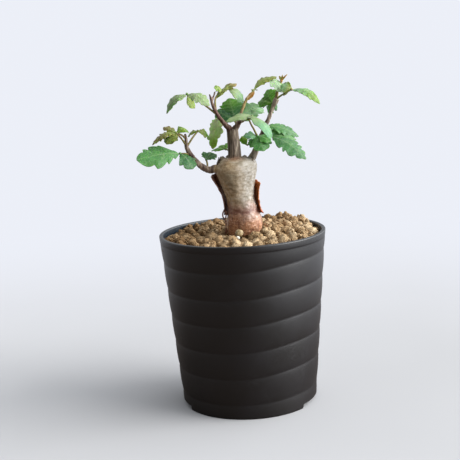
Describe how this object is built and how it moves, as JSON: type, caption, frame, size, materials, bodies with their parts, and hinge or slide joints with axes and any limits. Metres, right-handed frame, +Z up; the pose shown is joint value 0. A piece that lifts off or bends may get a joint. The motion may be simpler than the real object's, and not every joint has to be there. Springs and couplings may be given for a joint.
{
  "type": "potted fragrant bursera",
  "caption": "Young caudex tree with a swollen trunk, toothed compound leaves and peeling bark, in a black ripple-banded plastic pot filled with clay granules.",
  "frame": {"origin": "on the surface that the pot stands on, under the middle of the box that the whole plant and pot fill; the pot's own axis stands 3.9 mm to +X of it, because the leaves reach further to -X than the pot's rim", "axes": "+Z up along the pot's axis, +X to the right as seen from the front, +Y to the back"},
  "size_m": [0.0978, 0.09, 0.1765],
  "materials": {
    "pot_plastic": "satin",
    "clay_granules": "matte",
    "fertiliser_bead": "satin",
    "caudex_bark": "matte",
    "peeled_bark_dark": "matte",
    "peeled_bark_bright": "matte",
    "bud_bronze": "satin",
    "leaf_young": "satin",
    "leaf_pale": "satin",
    "leaf_green": "satin",
    "leaf_deep": "satin",
    "leaf_blue_green": "satin"
  },
  "bodies": {
    "root": {"pot": "pot_plastic", "soil": "clay_granules", "prill": "fertiliser_bead", "caudex": "caudex_bark", "bark_flap_left": "peeled_bark_dark", "bark_flap_right": "peeled_bark_bright", "bud_right": "bud_bronze", "leaf_lower_left": "leaf_blue_green", "leaf_left_young": "leaf_young", "leaf_left_inner": "leaf_young", "leaf_upper_left": "leaf_pale", "leaf_top_left": "leaf_young", "leaf_top_arch": "leaf_young", "leaf_upper_right": "leaf_blue_green", "leaf_lower_right": "leaf_blue_green", "leaf_lower_centre": "leaf_green", "leaf_front": "leaf_pale", "leaf_inner_hanging": "leaf_pale", "leaf_centre_back": "leaf_deep", "leaf_back_right": "leaf_deep", "leaf_stem_back": "leaf_deep", "leaf_trunk_left": "leaf_deep"}
  },
  "joints": []
}
